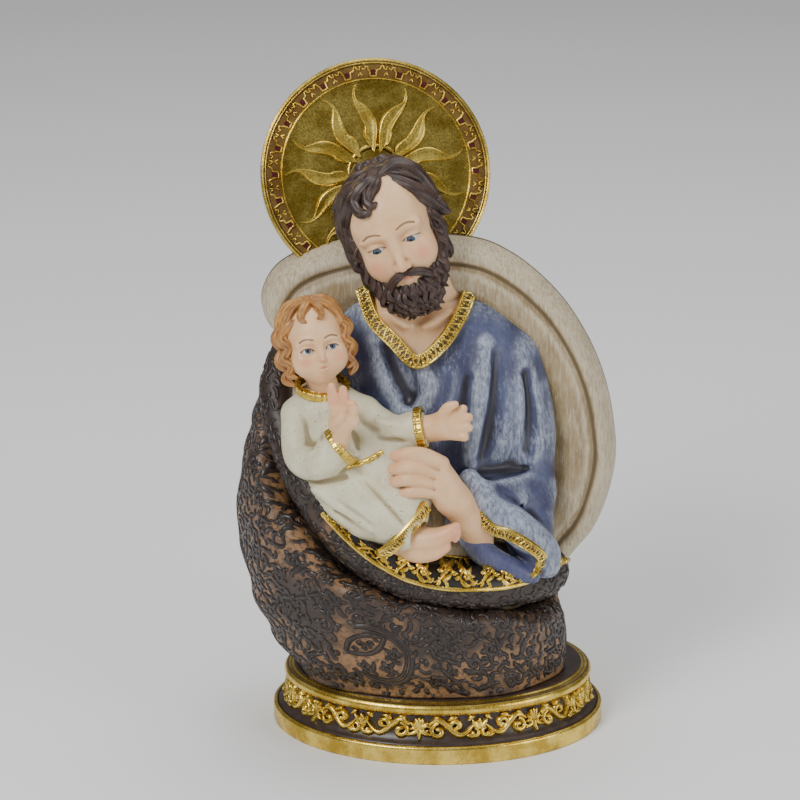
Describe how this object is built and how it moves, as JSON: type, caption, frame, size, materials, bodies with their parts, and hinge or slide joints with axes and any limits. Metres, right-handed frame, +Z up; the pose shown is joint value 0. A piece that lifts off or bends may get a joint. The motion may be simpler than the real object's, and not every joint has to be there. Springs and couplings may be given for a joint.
{
  "type": "saint joseph statue",
  "caption": "Devotional half-length figure of a bearded saint holding a child, wrapped in a carved cloak, with a disc halo, on an oval gilded plinth.",
  "frame": {"origin": "centre of the plinth's oval underside, on the surface it stands on", "axes": "+Z up, +X to the viewer's right, the figures face -Y"},
  "size_m": [0.1155, 0.083, 0.2007],
  "materials": {
    "gilt_plinth": "antique gold leaf paint over dark brown resin",
    "gilt_halo": "antique gold leaf paint over dark brown resin",
    "painted_resin": "cast resin, hand-painted and dry-brushed, satin"
  },
  "bodies": {
    "root": {"plinth": "gilt_plinth", "halo": "gilt_halo", "figure_group": "painted_resin"}
  },
  "joints": []
}
